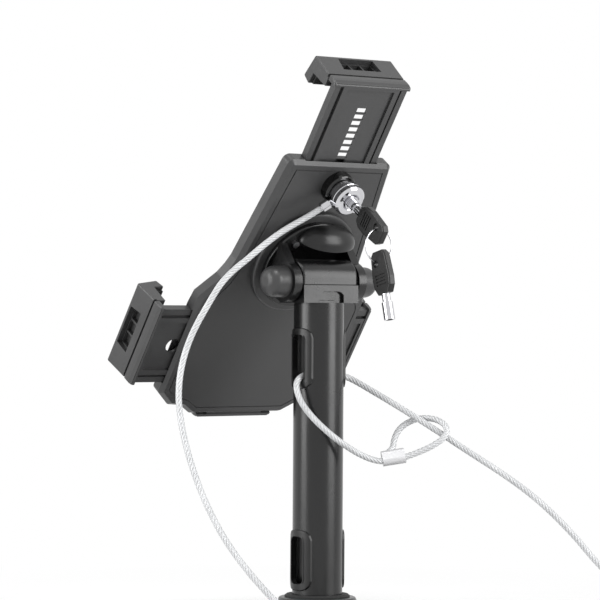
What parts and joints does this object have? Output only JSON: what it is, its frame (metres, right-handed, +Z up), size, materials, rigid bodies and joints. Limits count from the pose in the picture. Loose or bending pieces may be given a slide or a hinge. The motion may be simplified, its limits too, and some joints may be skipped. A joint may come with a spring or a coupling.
{
  "type": "tablet desk stand",
  "caption": "Locking tablet desk stand: round base, slotted pole, tilt-and-swivel head, four sliding clamp arms, keyed cable lock with keys and looped steel cable.",
  "frame": {"origin": "centre of the underside of the base, on the desk", "axes": "+Z up along the pole, X along the tilt hinge, the screen side of the holder faces -Y"},
  "size_m": [0.3006, 0.3327, 0.3938],
  "materials": {
    "black_powder_coat": "satin",
    "bare_steel": "satin",
    "black_plastic": "satin",
    "black_rubber": "matte",
    "chrome": "polished",
    "bronze_bush": "satin",
    "friction_plastic": "matte",
    "coated_rope": "gloss"
  },
  "bodies": {
    "stand": {"base_plate": "black_powder_coat", "base_cover": "black_plastic", "base_pad": "black_rubber", "base_screws": "bare_steel", "foot_gasket": "black_rubber", "pole_tube": "black_powder_coat", "pole_foot_plug": "bare_steel", "pole_bolt": "bare_steel", "slot_bezel_upper_left": "black_plastic", "slot_bezel_upper_right": "black_plastic", "slot_bezel_lower_left": "black_plastic", "slot_bezel_lower_right": "black_plastic", "pole_head_plug": "black_powder_coat", "hinge_block": "black_powder_coat", "hinge_bushes": "bronze_bush", "cable_lower": "coated_rope", "cable_coil": "coated_rope", "cable_run": "coated_rope", "loop_ferrule": "bare_steel"},
    "bracket": {"hinge_bolt": "bare_steel", "hinge_nut": "bare_steel", "hinge_cap_left": "black_plastic", "hinge_cap_right": "black_plastic", "hinge_washers": "friction_plastic", "tilt_bracket": "black_powder_coat", "bracket_dome": "black_plastic", "bracket_screws": "bare_steel", "hub_retainer": "bare_steel", "swivel_washer": "friction_plastic"},
    "holder": {"rear_cover": "black_plastic", "front_plate": "black_plastic", "front_pads": "black_rubber", "cover_screws": "bare_steel", "lock_slot_plate": "black_powder_coat", "arm_latches": "bare_steel", "lock_body": "black_powder_coat", "lock_cap": "chrome", "lock_swivel": "chrome", "cable_ferrule": "chrome", "cable_upper": "coated_rope"},
    "key": {"lock_plug": "chrome", "lock_bar": "bare_steel", "key_1_blade": "chrome", "key_1_head": "black_plastic"},
    "key_ring": {"key_ring": "chrome"},
    "spare_key": {"key_2_blade": "chrome", "key_2_head": "black_plastic"},
    "arm_top": {"arm_top": "black_plastic", "claw_top": "black_plastic", "claw_pad_top": "black_rubber"},
    "arm_bottom": {"arm_bottom": "black_plastic", "claw_bottom": "black_plastic", "claw_pad_bottom": "black_rubber"},
    "arm_left": {"arm_left": "black_plastic", "claw_left": "black_plastic", "claw_pad_left": "black_rubber"},
    "arm_right": {"arm_right": "black_plastic", "claw_right": "black_plastic", "claw_pad_right": "black_rubber"}
  },
  "joints": [
    {"name": "tilt", "type": "hinge", "parent": "stand", "child": "bracket", "pos_m": [0, 0, 0.2405], "axis": [-1, 0, 0], "range_deg": [-33, 50], "deforming": ["cable_lower"]},
    {"name": "swivel", "type": "hinge", "parent": "bracket", "child": "holder", "pos_m": [0, -0.0199, 0.25566], "axis": [0, -0.8192, 0.5736], "range_deg": [-90, 90], "deforming": ["cable_upper"]},
    {"name": "top_arm_slide", "type": "slide", "parent": "holder", "child": "arm_top", "axis": [0, 0.5736, 0.8192], "range_m": [-0.0525, 0.00415]},
    {"name": "bottom_arm_slide", "type": "slide", "parent": "holder", "child": "arm_bottom", "axis": [0, -0.5736, -0.8192], "range_m": [0, 0.05665]},
    {"name": "left_arm_slide", "type": "slide", "parent": "holder", "child": "arm_left", "axis": [1, 0, 0], "range_m": [-0.0176, 0.0094]},
    {"name": "right_arm_slide", "type": "slide", "parent": "holder", "child": "arm_right", "axis": [-1, 0, 0], "range_m": [-0.003, 0.024]},
    {"name": "key_turn", "type": "hinge", "parent": "holder", "child": "key", "pos_m": [-0.002, 0.03642, 0.29252], "axis": [0, 0.8192, -0.5736], "range_deg": [0, 90]},
    {"name": "ring_swing", "type": "hinge", "parent": "key", "child": "key_ring", "pos_m": [-0.002, 0.06313, 0.27618], "axis": [1, 0, 0], "range_deg": [-10, 40]},
    {"name": "spare_key_swing", "type": "hinge", "parent": "key_ring", "child": "spare_key", "pos_m": [-0.002, 0.06313, 0.25358], "axis": [1, 0, 0], "range_deg": [-10, 40]}
  ]
}
